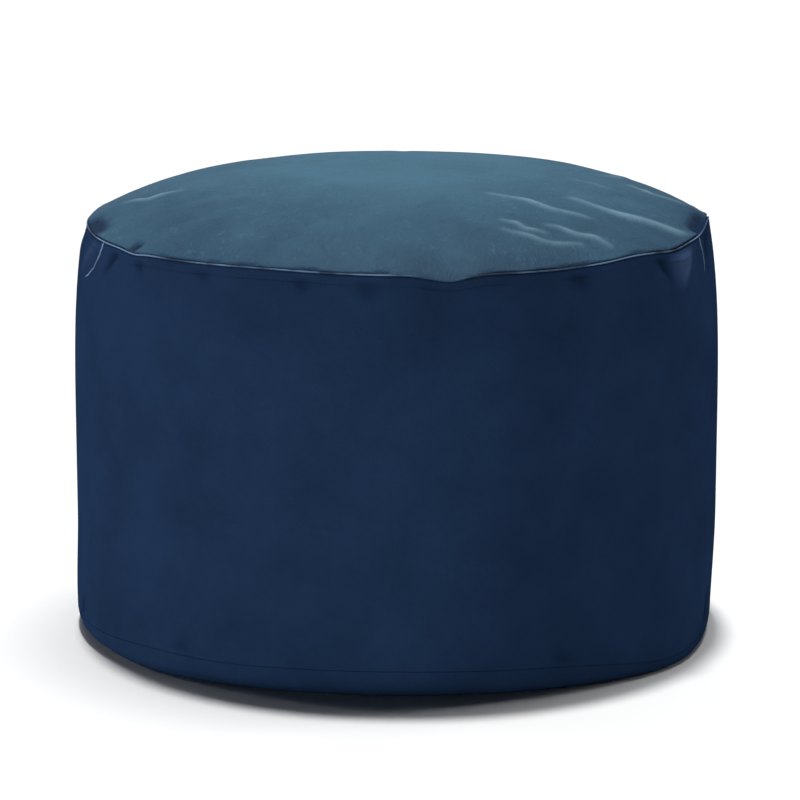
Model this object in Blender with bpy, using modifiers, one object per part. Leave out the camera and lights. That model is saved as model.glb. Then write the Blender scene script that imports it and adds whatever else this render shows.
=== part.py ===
"""Outdoor pouf: a round filled seat sewn from a crowned top, one side band and a base.

The body is one filled form, divided at its two seams, so that each cut panel is a solid.
Metres, +Z up, origin on the floor under the middle. The front of the pouf faces -Y.
"""

import math

import bmesh
import bpy

# Driving dimensions
WIDEST_RADIUS = 0.300
TOP_SEAM_RADIUS = 0.2885
TOP_SEAM_HEIGHT = 0.380
CROWN_RISE = 0.046
BASE_SEAM_RADIUS = 0.2985
BASE_SEAM_HEIGHT = 0.020
BASE_CORNER_WIDTH = 0.026
WELT_RADIUS = 0.0011
SEAM_GAP = 0.0003

# How the turned sections run between the driving dimensions
CROWN_POWER = 3.6
BAND_WIDEST_HEIGHT = 0.200
BAND_UPPER_POWER = 3.0
BAND_LOWER_POWER = 5.0
GROOVE_DEPTH = 0.0022
LIP_HEIGHT = 0.0020
LIP_OVERHANG = 0.0004
BASE_GROOVE_DEPTH = 0.0016
BASE_LIP_HEIGHT = 0.0014

# Fineness
TURN_STEPS = 120
CROWN_RINGS = 12
CROWN_RING_CROWDING = 0.9
BAND_RINGS = 15
CORNER_RINGS = 5
MERGE_DISTANCE = 0.00005
SHARP_ANGLE_DEG = 50

# The top seam's rise and fall: angle from the front towards +X, rise, half width
SEAM_WAVES = [
    # angle_deg, rise_m, half_width_deg
    (-84, 0.0050, 11),
    (-53.5, -0.0022, 3.5),
    (-23, 0.0020, 15),
    (9, -0.0045, 4.5),
    (27, -0.0014, 12),
    (46, 0.0014, 5),
    (59, -0.0025, 5),
    (82, 0.0080, 7.5),
]
SEAM_WAVE_REACH = 0.150
SEAM_WAVE_EDGE = 0.010
SEAM_SPREAD_RADIUS = 0.215
SEAM_FULL_RADIUS = 0.280

# Soft wrinkles of the crown, each along a bowed line seen from above, none at the seam itself
WRINKLE_MARGIN = 0.012
CROWN_WRINKLES = [
    # start_x, start_y, end_x, end_y, bow_m, half_width_m, rise_m
    (0.083, -0.098, 0.180, -0.162, -0.008, 0.014, 0.0026),
    (0.094, -0.176, 0.186, -0.192, 0.006, 0.012, 0.0022),
    (0.092, -0.204, 0.163, -0.212, 0.000, 0.010, 0.0016),
    (0.155, -0.090, 0.272, -0.098, -0.016, 0.017, 0.0044),
    (0.147, -0.008, 0.230, -0.050, 0.006, 0.018, 0.0024),
    (0.175, 0.062, 0.270, 0.062, 0.026, 0.018, 0.0030),
    (-0.256, 0.036, -0.192, -0.018, -0.010, 0.015, 0.0022),
    (-0.215, -0.165, -0.170, -0.140, 0.000, 0.010, -0.0018),
    (-0.150, -0.238, -0.128, -0.205, 0.000, 0.009, -0.0018),
    (0.020, -0.275, 0.075, -0.262, 0.000, 0.012, 0.0030),
    (0.140, 0.150, 0.190, 0.205, 0.000, 0.016, 0.0024),
    (-0.060, 0.215, -0.085, 0.265, 0.000, 0.014, 0.0020),
    (-0.190, 0.130, -0.235, 0.160, 0.000, 0.015, 0.0022),
]

# Folds start a little away from their seam and keep their depth for a share of their length
FOLD_START = 0.001
FOLD_FULL = 0.009
FOLD_HELD_SHARE = 0.3

# Drapes and puckers of the band below the top seam
UPPER_FOLDS = [
    # angle_deg, lean_deg, length_m, half_width_m, out_m
    (-67, -11, 0.055, 0.008, 0.0030),
    (-61, -6, 0.040, 0.010, -0.0026),
    (-52, 2, 0.025, 0.008, -0.0018),
    (-16, 0, 0.026, 0.010, -0.0016),
    (33, 1, 0.028, 0.012, -0.0018),
    (56, 4, 0.034, 0.008, -0.0026),
    (64, 4, 0.060, 0.015, 0.0046),
    (76, 5, 0.055, 0.007, 0.0024),
    (118, -3, 0.050, 0.012, 0.0030),
    (160, 2, 0.040, 0.012, -0.0020),
    (-150, 3, 0.045, 0.012, 0.0026),
    (-112, 2, 0.040, 0.011, -0.0022),
]

# Puckers of the band above the base seam, and where the band is drawn in there
LOWER_FOLDS = [
    # angle_deg, lean_deg, length_m, half_width_m, out_m
    (-76, 3, 0.030, 0.009, -0.0022),
    (-40, 2, 0.028, 0.012, -0.0012),
    (30, -2, 0.030, 0.012, -0.0012),
    (72, 2, 0.040, 0.010, -0.0030),
    (135, 2, 0.035, 0.011, -0.0022),
    (-130, -2, 0.035, 0.011, -0.0020),
]
LOWER_TUCKS = [
    # angle_deg, out_m, half_width_deg
    (-92, 0.0020, 24),
    (-60, 0.0024, 26),
    (55, 0.0085, 14),
    (94, -0.0030, 20),
]
LOWER_TUCK_REACH = 0.110

# The base seam's rise and fall, and where the corner below it is wider or narrower
BASE_EDGE_RADIUS = 0.220
BASE_SEAM_WAVES = [
    # angle_deg, rise_m, half_width_deg
    (-4, 0.0125, 42),
    (-48, 0.0030, 12),
    (55, -0.0110, 17),
]
BASE_WAVE_REACH = 0.120
BASE_CORNER_WAVES = [
    # angle_deg, wider_m, half_width_deg
    (-4, 0.0255, 42),
    (-48, -0.0150, 12),
    (54, -0.0190, 40),
]

# Colours as linear red, green and blue
TOP_CLOTH = (0.052, 0.118, 0.176)
SIDE_CLOTH = (0.014, 0.032, 0.082)
WELT_CLOTH = (0.090, 0.130, 0.200)


def smooth(low, high, value):
    """0 up to low, 1 from high, and a smooth rise between them."""
    t = min(1.0, max(0.0, (value - low) / (high - low)))
    return t * t * (3 - 2 * t)


def angle_between(angle_deg, other_deg):
    """The turn from one angle to another, from -180 to 180 degrees."""
    return (angle_deg - other_deg + 180) % 360 - 180


def waves(table, angle_deg):
    """The sum of a table's bell-shaped rises at an angle."""
    return sum(
        size * math.exp(-((angle_between(angle_deg, middle) / half_width) ** 2))
        for middle, size, half_width in table
    )


def folds(table, angle_deg, away):
    """How far the folds push the band out, at a distance away from their seam."""
    total = 0.0
    for middle, lean, length, half_width, out in table:
        here = middle + lean * min(1.0, away / length)
        across = math.radians(angle_between(angle_deg, here)) * WIDEST_RADIUS
        held = 1 - smooth(FOLD_HELD_SHARE * length, length, away)
        total += out * held * math.exp(-((across / half_width) ** 2))
    return total * smooth(FOLD_START, FOLD_FULL, away)


def wrinkles(x, y):
    """The height that the crown's wrinkles add at a place seen from above."""
    total = 0.0
    for start_x, start_y, end_x, end_y, bow, half_width, rise in CROWN_WRINKLES:
        run_x, run_y = end_x - start_x, end_y - start_y
        length = math.hypot(run_x, run_y)
        along = ((x - start_x) * run_x + (y - start_y) * run_y) / length**2
        across = ((y - start_y) * run_x - (x - start_x) * run_y) / length
        inside = min(1.0, max(0.0, along))
        across -= bow * 4 * inside * (1 - inside)
        past = (along - inside) * length
        total += rise * math.exp(-(across**2 + past**2) / half_width**2)
    return total


def settle(point):
    """Moves a point of the evenly turned pouf to its place on the uneven one."""
    x, y, z = point
    radius = math.hypot(x, y)
    if radius < MERGE_DISTANCE:
        return
    angle = math.degrees(math.atan2(x, -y))
    out = 0.0
    up = waves(SEAM_WAVES, angle) * smooth(SEAM_SPREAD_RADIUS, SEAM_FULL_RADIUS, radius)
    up *= smooth(TOP_SEAM_HEIGHT - SEAM_WAVE_REACH, TOP_SEAM_HEIGHT - SEAM_WAVE_EDGE, z)
    if z > TOP_SEAM_HEIGHT + LIP_HEIGHT:
        up += wrinkles(x, y) * smooth(0, WRINKLE_MARGIN, TOP_SEAM_RADIUS - radius)
    elif BASE_SEAM_HEIGHT < z < TOP_SEAM_HEIGHT and radius > TOP_SEAM_RADIUS:
        out += folds(UPPER_FOLDS, angle, TOP_SEAM_HEIGHT - z)
        out += folds(LOWER_FOLDS, angle, z - BASE_SEAM_HEIGHT)
    if radius > BASE_EDGE_RADIUS:
        below = min(1.0, z / BASE_SEAM_HEIGHT)
        up += waves(BASE_SEAM_WAVES, angle) * below * (1 - smooth(BASE_SEAM_HEIGHT, BASE_WAVE_REACH, z))
        out += waves(LOWER_TUCKS, angle) * (1 - smooth(BASE_SEAM_HEIGHT, LOWER_TUCK_REACH, z))
        if z < BASE_SEAM_HEIGHT - SEAM_GAP:
            inward = min(1.0, (BASE_SEAM_RADIUS - radius) / BASE_CORNER_WIDTH)
            out -= waves(BASE_CORNER_WAVES, angle) * inward
    point.x += out * x / radius
    point.y += out * y / radius
    point.z += up


def crown_section():
    """The top panel from the middle of its crown to its lip, its groove and its underside."""
    lip = TOP_SEAM_RADIUS - LIP_OVERHANG / 2
    section = []
    for ring in range(CROWN_RINGS + 1):
        radius = lip * math.sin(math.pi / 2 * ring / CROWN_RINGS) ** CROWN_RING_CROWDING
        height = LIP_HEIGHT + (CROWN_RISE - LIP_HEIGHT) * (1 - (radius / lip) ** CROWN_POWER)
        section.append((radius, TOP_SEAM_HEIGHT + height))
    underside = TOP_SEAM_HEIGHT + SEAM_GAP / 2
    section.append((TOP_SEAM_RADIUS - GROOVE_DEPTH, underside))
    section.append((SEAM_SPREAD_RADIUS, underside))
    section.append((0, underside))
    return section


def band_radius(height):
    """The band's radius: fullest near its middle and drawn in towards both seams."""
    if height > BAND_WIDEST_HEIGHT:
        share = (height - BAND_WIDEST_HEIGHT) / (TOP_SEAM_HEIGHT - BAND_WIDEST_HEIGHT)
        return WIDEST_RADIUS - (WIDEST_RADIUS - TOP_SEAM_RADIUS) * share**BAND_UPPER_POWER
    share = (BAND_WIDEST_HEIGHT - height) / (BAND_WIDEST_HEIGHT - BASE_SEAM_HEIGHT)
    return WIDEST_RADIUS - (WIDEST_RADIUS - BASE_SEAM_RADIUS) * share**BAND_LOWER_POWER


def band_section():
    """The side panel from its upper face out to the top lip, down the band and in again."""
    upper_face = TOP_SEAM_HEIGHT - SEAM_GAP / 2
    lower_face = BASE_SEAM_HEIGHT + SEAM_GAP / 2
    top_lip = TOP_SEAM_HEIGHT - LIP_HEIGHT
    bottom_lip = BASE_SEAM_HEIGHT + BASE_LIP_HEIGHT
    section = [
        (0, upper_face),
        (SEAM_SPREAD_RADIUS, upper_face),
        (TOP_SEAM_RADIUS - GROOVE_DEPTH, upper_face),
        (TOP_SEAM_RADIUS + LIP_OVERHANG, top_lip),
    ]
    for ring in range(1, BAND_RINGS + 1):
        share = (1 + math.cos(math.pi * ring / BAND_RINGS)) / 2
        height = bottom_lip + (top_lip - bottom_lip) * share
        section.append((band_radius(height), height))
    section.append((BASE_SEAM_RADIUS - BASE_GROOVE_DEPTH, lower_face))
    section.append((0, lower_face))
    return section


def base_section():
    """The base from its upper face out to its lip, round its corner and in under the pouf."""
    upper_face = BASE_SEAM_HEIGHT - SEAM_GAP / 2
    lip = BASE_SEAM_HEIGHT - BASE_LIP_HEIGHT
    section = [(0, upper_face), (BASE_SEAM_RADIUS - BASE_GROOVE_DEPTH, upper_face)]
    for ring in range(CORNER_RINGS + 1):
        turn = math.pi / 2 * ring / CORNER_RINGS
        radius = BASE_SEAM_RADIUS - BASE_CORNER_WIDTH * (1 - math.cos(turn))
        section.append((radius, lip * (1 - math.sin(turn))))
    section.append((0, 0))
    return section


def cloth(name, colour, roughness, sheen):
    """A coated polyester cloth of one colour."""
    material = bpy.data.materials.new(name)
    material.use_nodes = True
    shader = material.node_tree.nodes["Principled BSDF"]
    shader.inputs["Base Color"].default_value = (*colour, 1)
    shader.inputs["Metallic"].default_value = 0
    shader.inputs["Roughness"].default_value = roughness
    shader.inputs["Sheen Weight"].default_value = sheen
    material.diffuse_color = (*colour, 1)
    return material


def add_object(name, data, collection):
    """A new object in the pouf's collection."""
    item = bpy.data.objects.new(name, data)
    collection.objects.link(item)
    return item


def split_quads(solid):
    """Makes a turned mesh uneven, and splits its quads the same way on both sides of a seam."""
    shape = bmesh.new()
    shape.from_mesh(solid)
    for vertex in shape.verts:
        settle(vertex.co)
    bmesh.ops.triangulate(shape, faces=shape.faces, quad_method="SHORT_EDGE")
    shape.to_mesh(solid)
    shape.free()


def turned_panel(name, section, material, collection):
    """A filled panel turned about the middle from its section, then made uneven."""
    outline = bpy.data.meshes.new(name + "_section")
    drawing = bmesh.new()
    corners = [drawing.verts.new((radius, 0, height)) for radius, height in section]
    for first, second in zip(corners, corners[1:]):
        drawing.edges.new((first, second))
    drawing.to_mesh(outline)
    drawing.free()
    guide = add_object(name + "_guide", outline, collection)
    screw = guide.modifiers.new("Turn", "SCREW")
    screw.axis = "Z"
    screw.angle = math.tau
    screw.steps = TURN_STEPS
    screw.render_steps = TURN_STEPS
    screw.use_merge_vertices = True
    screw.merge_threshold = MERGE_DISTANCE
    solid = bpy.data.meshes.new_from_object(guide.evaluated_get(bpy.context.evaluated_depsgraph_get()))
    bpy.data.objects.remove(guide)
    split_quads(solid)
    solid.name = name
    solid.materials.clear()
    solid.materials.append(material)
    solid.shade_smooth()
    solid.set_sharp_from_angle(angle=math.radians(SHARP_ANGLE_DEG))
    return add_object(name, solid, collection)


def welt(material, collection):
    """The thin round edge that stands out of the top seam."""
    line = bpy.data.curves.new("top_welt", "CURVE")
    line.dimensions = "3D"
    line.bevel_depth = WELT_RADIUS
    line.bevel_resolution = 1
    line.use_fill_caps = False
    path = line.splines.new("POLY")
    path.points.add(TURN_STEPS - 1)
    path.use_cyclic_u = True
    path.use_smooth = True
    for step, point in enumerate(path.points):
        angle = math.tau * step / TURN_STEPS
        place = [TOP_SEAM_RADIUS * math.cos(angle), TOP_SEAM_RADIUS * math.sin(angle), TOP_SEAM_HEIGHT]
        turned = math.degrees(math.atan2(place[0], -place[1]))
        place[2] += waves(SEAM_WAVES, turned)
        point.co = (*place, 1)
    line.materials.append(material)
    return add_object("top_welt", line, collection)


def main():
    for item in list(bpy.data.objects):
        bpy.data.objects.remove(item)
    pouf = bpy.data.collections.new("outdoor_pouf")
    bpy.context.scene.collection.children.link(pouf)
    turned_panel("top_panel", crown_section(), cloth("top_cloth", TOP_CLOTH, 0.60, 0.4), pouf)
    turned_panel("side_panel", band_section(), cloth("side_cloth", SIDE_CLOTH, 0.62, 0.2), pouf)
    turned_panel("base_panel", base_section(), cloth("base_cloth", SIDE_CLOTH, 0.66, 0.1), pouf)
    welt(cloth("welt_cloth", WELT_CLOTH, 0.55, 0.2), pouf)


main()
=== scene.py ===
"""Outdoor pouf: its filled cloth covers, seam welt, stitching, cloth finishes and studio.

Metres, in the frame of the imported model: +Z up, origin on the floor, front towards -Y.
Angles run from the front towards +X.
"""

import math

import bmesh
import bpy
import numpy as np
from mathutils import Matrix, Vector
from mathutils.bvhtree import BVHTree


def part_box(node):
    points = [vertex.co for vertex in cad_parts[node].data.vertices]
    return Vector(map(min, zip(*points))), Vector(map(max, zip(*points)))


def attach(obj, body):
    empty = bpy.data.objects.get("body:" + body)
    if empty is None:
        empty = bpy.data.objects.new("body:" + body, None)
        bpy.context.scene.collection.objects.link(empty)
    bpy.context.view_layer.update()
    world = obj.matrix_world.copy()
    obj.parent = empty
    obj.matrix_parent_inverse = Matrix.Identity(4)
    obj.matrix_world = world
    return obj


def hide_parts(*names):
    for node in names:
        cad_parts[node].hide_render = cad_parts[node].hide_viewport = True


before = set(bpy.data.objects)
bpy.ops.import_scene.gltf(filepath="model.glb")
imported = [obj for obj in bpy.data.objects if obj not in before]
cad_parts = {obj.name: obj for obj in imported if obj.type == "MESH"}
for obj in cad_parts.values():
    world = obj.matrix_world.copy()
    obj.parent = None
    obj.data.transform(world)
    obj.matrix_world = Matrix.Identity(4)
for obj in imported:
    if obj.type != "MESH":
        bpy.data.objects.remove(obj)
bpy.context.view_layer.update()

bl_info = {
    "name": "Outdoor Pouf",
    "version": (1, 0, 0),
    "blender": (4, 5, 0),
    "location": "View3D > Sidebar > Pouf",
    "description": "Makes a round outdoor pouf with simulated cloth covers",
    "category": "Object",
}

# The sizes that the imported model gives
SEAM_GAP = 0.0003
LIP_OVERHANG = 0.0004
WIDEST_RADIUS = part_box("side_panel")[1].x
TOP_SEAM_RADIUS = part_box("top_panel")[1].x + LIP_OVERHANG / 2
BASE_SEAM_RADIUS = -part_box("base_panel")[0].y
TOTAL_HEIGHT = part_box("top_panel")[1].z

# Sizes of the turned form that the boxes don't give
CROWN_RISE = 0.046
TOP_SEAM_HEIGHT = TOTAL_HEIGHT - CROWN_RISE
CROWN_POWER = 3.6
BAND_WIDEST_HEIGHT = 0.200
BAND_UPPER_POWER = 3.0
BAND_LOWER_POWER = 5.0
BASE_SEAM_HEIGHT = 0.020
BASE_CORNER_WIDTH = 0.026
LIP_HEIGHT = 0.0020
GROOVE_DEPTH = 0.0024
BASE_GROOVE_DEPTH = 0.0003
BASE_SEAM_OPENING = 0.00005
COLLAR_WIDTH = 0.0045

# The hidden discs that close each panel: the level of its seam, and of its disc
HIDDEN_LEVELS = {
    "top_cover": [(TOP_SEAM_HEIGHT, TOP_SEAM_HEIGHT)],
    "side_cover": [
        (TOP_SEAM_HEIGHT, TOP_SEAM_HEIGHT - 0.004),
        (BASE_SEAM_HEIGHT, BASE_SEAM_HEIGHT + 0.002),
    ],
    "base_cover": [(BASE_SEAM_HEIGHT, BASE_SEAM_HEIGHT - 0.002)],
}
HIDDEN_SHARE = 0.6
SEAM_REACH = 0.05

# Each panel's lip at its seam: how far it stands out, and its height from the seam. Where the top panel
# swells over the seam, its lip also drops.
TOP_LIP = (0.0008, 0.0030)
BAND_UPPER_LIP = (0.0014, -0.0006)
BAND_LOWER_LIP = (0.0004, 0.0004)
BASE_LIP = (0.0004, -0.0003)
BASE_LIP_HEIGHT = 0.0014
SWELL_DROP = 1.2

# The rings that turn each panel in at its seam
TOP_BEND_STEPS = 5
BAND_BEND_STEPS = 4
BASE_BEND_STEPS = 3

# How often each pattern repeats in a metre: clouds of colour 90 mm across, turned flecks of 6 to 10 mm,
# the twist of a thread, 1.1 mm, and its uneven shade, 45 mm
CLOUDS_PER_METRE = 11.0
FLECK_TURN = math.radians(20)
FLECKS_PER_METRE = (170, 100, 130)
TWISTS_PER_METRE = 900.0
SHADES_PER_METRE = 22.0

# Each cloth's paler tone for its mottling and painted light, its painted highlight for crests, and its
# painted shade for hollows and dark flecks, beside its own colour
TOP_TONES = ("#42697E", "#6B8C9E", "#102440")
SIDE_TONES = ("#213553", "#37486A", "#0E1C33")

# The top's coating keeps a slight sheen, and its middle is made paler by painted light. The band's and the
# base's is quite matt.
TOP_FINISH = {"specular": 0.08, "roughness": 0.65, "specks": 0.3, "painted_light": 0.75}
SIDE_FINISH = {"specular": 0.0, "roughness": 0.8, "specks": 0.1, "painted_light": 0.0}

# The painted light on the top, paler towards its middle: its middle, its outer edge and where it is palest
PAINTED_LIGHT_MIDDLE = (0.0, 0.04, 0.42)
PAINTED_LIGHT_EDGE = 0.34
PAINTED_LIGHT_FULL = 0.10

# The lit part of the studio's back wall: its soft edges on a unit sphere, in front, below and above
WALL_FRONT = (0.0, 0.1)
WALL_BOTTOM = (0.07, 0.11)
WALL_TOP = (0.32, 0.38)
FLOOR_SIZE = 40
FLOOR_COLOUR = "#F4F4F4"
CAMERA_SIDEWAYS = 0.0032

# The top seam's rise and fall
SEAM_WAVES = [
    # angle_deg, rise_m, half_width_deg
    (-84, 0.0050, 11),
    (-53.5, -0.0022, 3.5),
    (-23, 0.0020, 15),
    (9, -0.0045, 4.5),
    (27, -0.0014, 12),
    (46, 0.0014, 5),
    (59, -0.0025, 5),
    (82, 0.0080, 7.5),
]
SEAM_WAVE_REACH = 0.150
SEAM_WAVE_EDGE = 0.010

# Where the top seam is drawn in
SEAM_TUCKS = [
    # angle_deg, out_m, half_width_deg
    (-90, -0.0048, 9),
]
SEAM_TUCK_REACH = 0.028
SEAM_SPREAD_RADIUS = 0.215
SEAM_FULL_RADIUS = 0.280

# Where the top panel swells over the seam and hides it, or shrinks back from it
LIP_SWELLS = [
    # angle_deg, out_m, half_width_deg
    (3, 0.0050, 4.5),
    (10, 0.0062, 4.5),
    (-48, 0.0012, 4),
    (-22, 0.0012, 3),
    (-9, 0.0014, 2.5),
    (22, 0.0014, 3),
    (42, 0.0012, 3),
    (-94, 0.0026, 8),
    (-160, 0.0016, 6),
    (140, 0.0014, 5),
    (175, 0.0012, 4),
]

# Puckers where the top panel is gathered into its seam; their depth also darkens the cloth there as painted
# shade
RIM_PUCKERS = [
    # angle_deg, depth_m, half_width_deg, reach_m
    (-75, 0.0030, 5.0, 0.021),
    (-54.6, 0.0034, 1.1, 0.017),
    (-45, 0.0012, 1.2, 0.004),
    (-33.5, 0.0018, 1.6, 0.005),
    (-27, 0.0022, 2.2, 0.005),
    (-15.3, 0.0024, 2.2, 0.005),
    (-2.4, 0.0022, 1.5, 0.005),
    (16, 0.0012, 1.2, 0.004),
    (32.5, 0.0024, 4.0, 0.005),
    (48, 0.0018, 2.2, 0.005),
    (56, 0.0014, 1.4, 0.004),
    (76, 0.0066, 4.4, 0.018),
    (105, 0.0022, 2.0, 0.014),
    (128, 0.0018, 1.6, 0.010),
    (149, 0.0022, 2.4, 0.012),
    (171, 0.0016, 1.5, 0.010),
    (-166, 0.0022, 2.0, 0.012),
    (-141, 0.0018, 1.7, 0.010),
    (-120, 0.0022, 2.2, 0.012),
]

# Soft wrinkles of the crown, each along a bowed line seen from above
CROWN_WRINKLES = [
    # start_x, start_y, end_x, end_y, bow_m, half_width_m, rise_m
    (0.084, -0.112, 0.168, -0.155, -0.003, 0.0040, 0.0022),
    (0.095, -0.188, 0.128, -0.205, -0.002, 0.0036, 0.0018),
    (0.134, -0.189, 0.187, -0.199, 0.001, 0.0040, 0.0020),
    (0.094, -0.207, 0.160, -0.213, -0.008, 0.0036, 0.0015),
    (0.159, -0.108, 0.264, -0.105, -0.014, 0.0062, 0.0025),
    (0.190, 0.030, 0.212, 0.076, -0.010, 0.0050, 0.0010),
    (0.219, 0.012, 0.260, -0.036, -0.009, 0.0040, 0.0022),
    (0.162, -0.020, 0.194, -0.037, 0.000, 0.0036, 0.0010),
    (-0.246, -0.037, -0.198, -0.042, -0.008, 0.0040, 0.0022),
]

# Broad soft swells and hollows of the crown, along the same kind of line
CROWN_SWELLS = [
    # start_x, start_y, end_x, end_y, bow_m, half_width_m, rise_m
    (0.060, -0.150, 0.190, -0.172, 0.000, 0.014, -0.0014),
    (0.150, -0.060, 0.240, -0.070, -0.006, 0.014, -0.0016),
    (-0.235, -0.090, -0.150, -0.080, -0.008, 0.016, -0.0030),
    (-0.120, -0.130, -0.040, -0.170, 0.010, 0.016, -0.0020),
    (-0.215, -0.165, -0.170, -0.140, 0.000, 0.010, -0.0014),
    (0.020, -0.275, 0.075, -0.262, 0.000, 0.012, 0.0012),
    (0.095, 0.190, 0.262, 0.020, -0.012, 0.036, 0.0020),
    (-0.210, 0.110, -0.060, 0.190, 0.020, 0.040, 0.0014),
]
WRINKLE_MARGIN = 0.012

# How a wrinkle wavers across its line by a share of its half width, and ripples and fades along it.
# The rates are in radians over its length, and the shift, by its start, makes each one different.
WAVER_SHARE = 0.5
WAVER_RATE = 10
RIPPLE_SHARE = 0.25
RIPPLE_RATE = 13
SHIFT_RATE = 50
END_STRENGTH = 0.4

# Heights and depths at which the cloth takes its full painted highlight or painted shade, on the crown and on
# the band
CREST_FULL = 0.0022
HOLLOW_FULL = 0.0022
FOLD_CREST_FULL = 0.004
FOLD_HOLLOW_FULL = 0.003

# A wrinkle at least this high has its faces split finer
FINE_OVER = 0.0001

# The listed relief starts softly: so far above the seam on the crown, and outside it on the band
CROWN_SIDE = (-0.002, 0.004)
BAND_SIDE = (-0.001, 0.001)

# The least radii that moves are divided by, so that nothing near the middle is thrown far
SETTLE_LEAST_RADIUS = 0.01
FOLD_LEAST_RADIUS = 0.05

# Folds start a little away from their seam and reach their depth soon after, hold it for a share of their
# length, and narrow by a share towards their end
FOLD_START = 0.001
FOLD_FULL = 0.009
HELD_SHARE = 0.3
NARROWING = 0.6

# Drapes and puckers of the band below the top seam
UPPER_FOLDS = [
    # angle_deg, lean_deg, length_m, half_width_m, out_m
    (-68, -12, 0.050, 0.012, 0.0016),
    (-59, -6, 0.040, 0.009, -0.0024),
    (-36, 2, 0.022, 0.012, -0.0012),
    (-52, 2, 0.025, 0.008, -0.0018),
    (-16, 0, 0.026, 0.010, -0.0016),
    (-5, 1, 0.030, 0.013, -0.0014),
    (33, 1, 0.028, 0.012, -0.0018),
    (53, 4, 0.034, 0.008, -0.0028),
    (61.5, -1, 0.040, 0.022, 0.0056),
    (76, -2, 0.050, 0.008, -0.0020),
    (118, -3, 0.050, 0.012, 0.0030),
    (160, 2, 0.040, 0.012, -0.0020),
    (-150, 3, 0.045, 0.012, 0.0026),
    (-112, 2, 0.040, 0.011, -0.0022),
]

# Where the band is pinched into a short sharp crease, from the top seam down
CREASES = [
    # angle_deg and height_m of its points
    [(-65.1, 0.3790), (-66.2, 0.3674), (-68.5, 0.3538), (-71.8, 0.3445), (-77.5, 0.3348)],
    [(70.9, 0.3790), (71.7, 0.3657), (71.9, 0.3545), (71.9, 0.3381)],
]

# A crease has so many steps for each of its points, and from a share of its length it sinks into the band,
# by so many times its radius at the end
CREASE_STEPS = 12
CREASE_SINKS_FROM = 0.5
CREASE_SINKING = 1.3

# Puckers of the band above the base seam, and where the band is drawn in or stands out there
LOWER_FOLDS = [
    # angle_deg, lean_deg, length_m, half_width_m, out_m
    (-76, 3, 0.030, 0.009, -0.0022),
    (-40, 2, 0.028, 0.012, -0.0012),
    (30, -2, 0.030, 0.012, -0.0012),
    (72, 2, 0.040, 0.010, -0.0030),
    (135, 2, 0.035, 0.011, -0.0022),
    (-130, -2, 0.035, 0.011, -0.0020),
]
LOWER_TUCKS = [
    # angle_deg, out_m, half_width_deg
    (-92, 0.0020, 24),
    (-60, 0.0024, 26),
    (55, 0.0085, 14),
    (94, -0.0030, 20),
]
LOWER_TUCK_REACH = 0.110

# The base seam's rise and fall, and where the corner below it is wider or narrower
BASE_SEAM_WAVES = [
    # angle_deg, rise_m, half_width_deg
    (-4, 0.0125, 42),
    (-48, 0.0030, 12),
    (55, -0.0110, 17),
]
BASE_WAVE_REACH = 0.120
BASE_CORNER_WAVES = [
    # angle_deg, wider_m, half_width_deg
    (-4, 0.0335, 42),
    (-48, -0.0150, 12),
    (54, -0.0200, 40),
]
BASE_CORNER_POWER = 2.6

# The uneven foot starts at the first radius and is full at the second
FOOT_START_RADIUS = 0.160
FOOT_FULL_RADIUS = 0.250

# How the cloth handles, in the simulation's own units
CLOTH_HANDLING = {
    "quality": 5,
    "mass": 0.3,
    "tension_stiffness": 25,
    "compression_stiffness": 25,
    "shear_stiffness": 8,
    "bending_stiffness": 0.8,
}

# How the cloth's slack varies round the pouf: a mean, a sway of three waves, and more at the front right
SLACK_MEAN = 0.45
SLACK_SWAY = 0.25
SLACK_WAVES = 3
SLACK_SHIFT_DEG = 40
SLACK_EXTRA = 0.3
SLACK_EXTRA_DEG = 65
SLACK_EXTRA_WIDTH_DEG = 40

# The crown's even swelling is found as a curve with powers up to this one, and taken out
SWELLING_CURVE = 8

# The steps of the lines round the top seam, how far below it the stitches run, and how far outside the
# pouf the search for its surface starts
SEAM_STEPS = 720
STITCH_DROP = 0.0095
RAY_MARGIN = 0.05


class PoufShapeSettings(bpy.types.PropertyGroup):
    """Sizes of the pouf's covers and of the simulation that fills them."""

    cells: bpy.props.IntProperty(
        name="Cells across", description="Cells of the cloth net across the top", default=84, min=16
    )
    pressure: bpy.props.FloatProperty(
        name="Pressure", description="How hard the filling presses on the cloth", default=4.0
    )
    slack: bpy.props.FloatProperty(
        name="Slack",
        description="How much larger the cloth is cut than the form",
        default=0.02,
        subtype="FACTOR",
    )
    frames: bpy.props.IntProperty(
        name="Frames", description="Steps of the cloth simulation", default=20, min=2
    )
    cap: bpy.props.FloatProperty(
        name="Cap",
        description="The furthest that the simulation moves the cloth",
        default=0.006,
        unit="LENGTH",
    )
    welt_radius: bpy.props.FloatProperty(
        name="Welt radius",
        description="Half the thickness of the seam's edge",
        default=0.00065,
        unit="LENGTH",
    )
    crease_radius: bpy.props.FloatProperty(
        name="Crease radius",
        description="Half the thickness of the band's creases",
        default=0.0008,
        unit="LENGTH",
    )
    stitch_length: bpy.props.FloatProperty(
        name="Stitch length", description="Length of one stitch", default=0.0030, unit="LENGTH"
    )
    stitch_pitch: bpy.props.FloatProperty(
        name="Stitch pitch", description="From one stitch to the next", default=0.0042, unit="LENGTH"
    )
    thread_radius: bpy.props.FloatProperty(
        name="Thread radius", description="Half the sewing thread's thickness", default=0.00022, unit="LENGTH"
    )


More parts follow.
